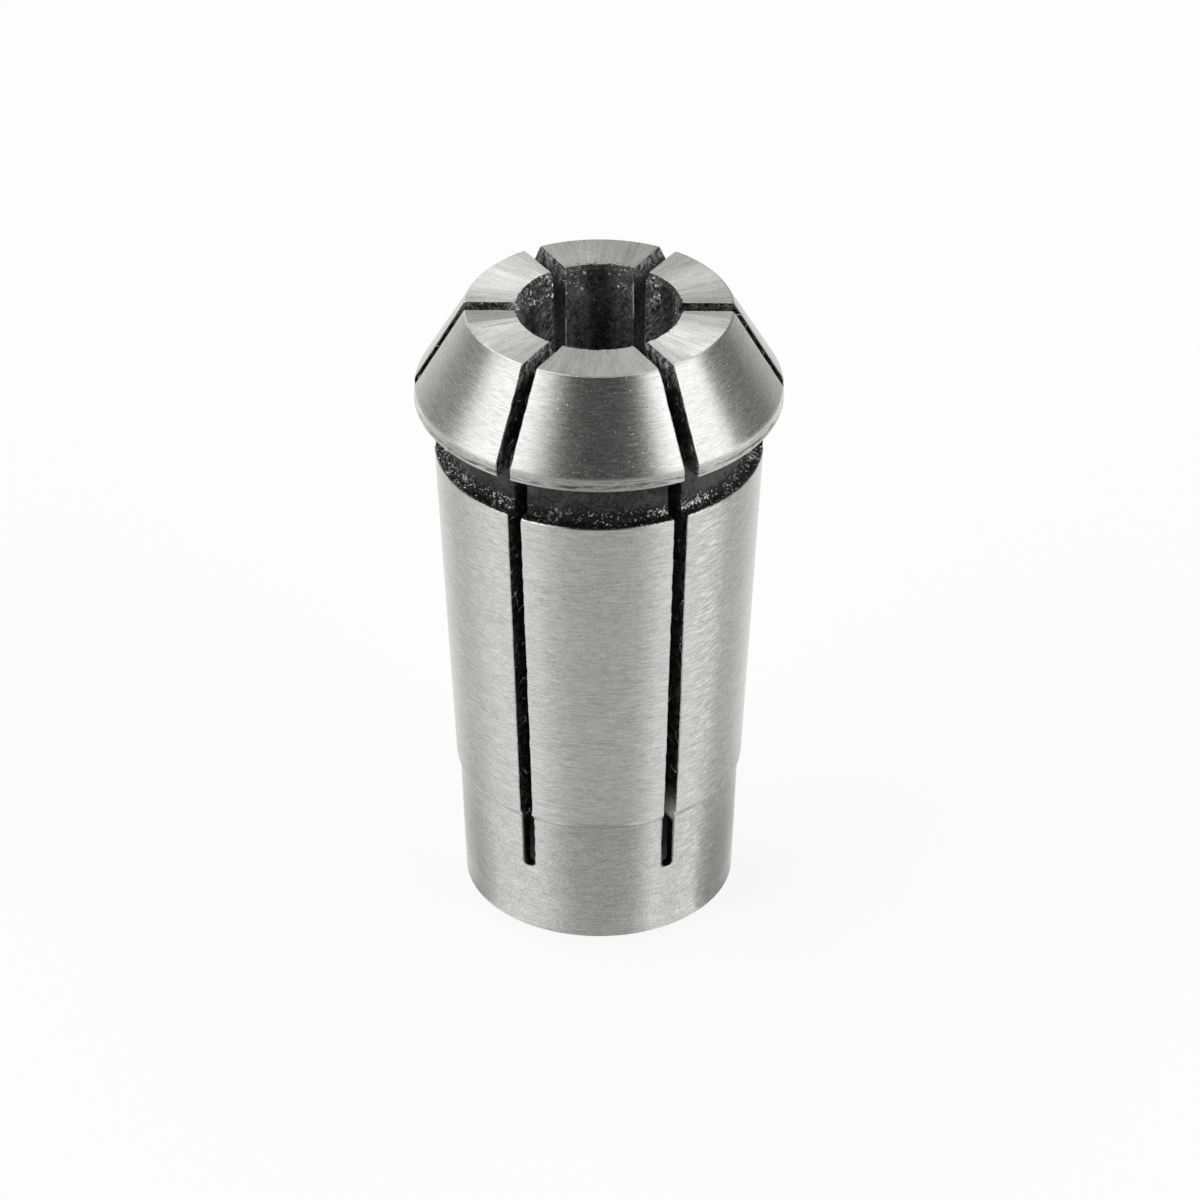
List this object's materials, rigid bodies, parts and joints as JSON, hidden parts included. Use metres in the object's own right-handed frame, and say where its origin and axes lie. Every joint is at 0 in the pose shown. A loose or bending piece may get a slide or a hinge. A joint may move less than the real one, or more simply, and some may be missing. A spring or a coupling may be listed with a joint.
{
  "type": "collet",
  "caption": "Slotted spring collet with a clamping cone, a snap groove, a long tapered seat, a through bore and a hollow tail.",
  "frame": {"origin": "centre of the rear end, on the axis", "axes": "+Z along the axis towards the clamping nose; one slot opens along +X"},
  "size_m": [0.0254, 0.0254, 0.0463],
  "materials": {
    "ground_steel": "fine ground outside, dark heat-treatment scale in the bore, the groove and the slots"
  },
  "bodies": {
    "root": {"collet": "ground_steel"}
  },
  "joints": []
}
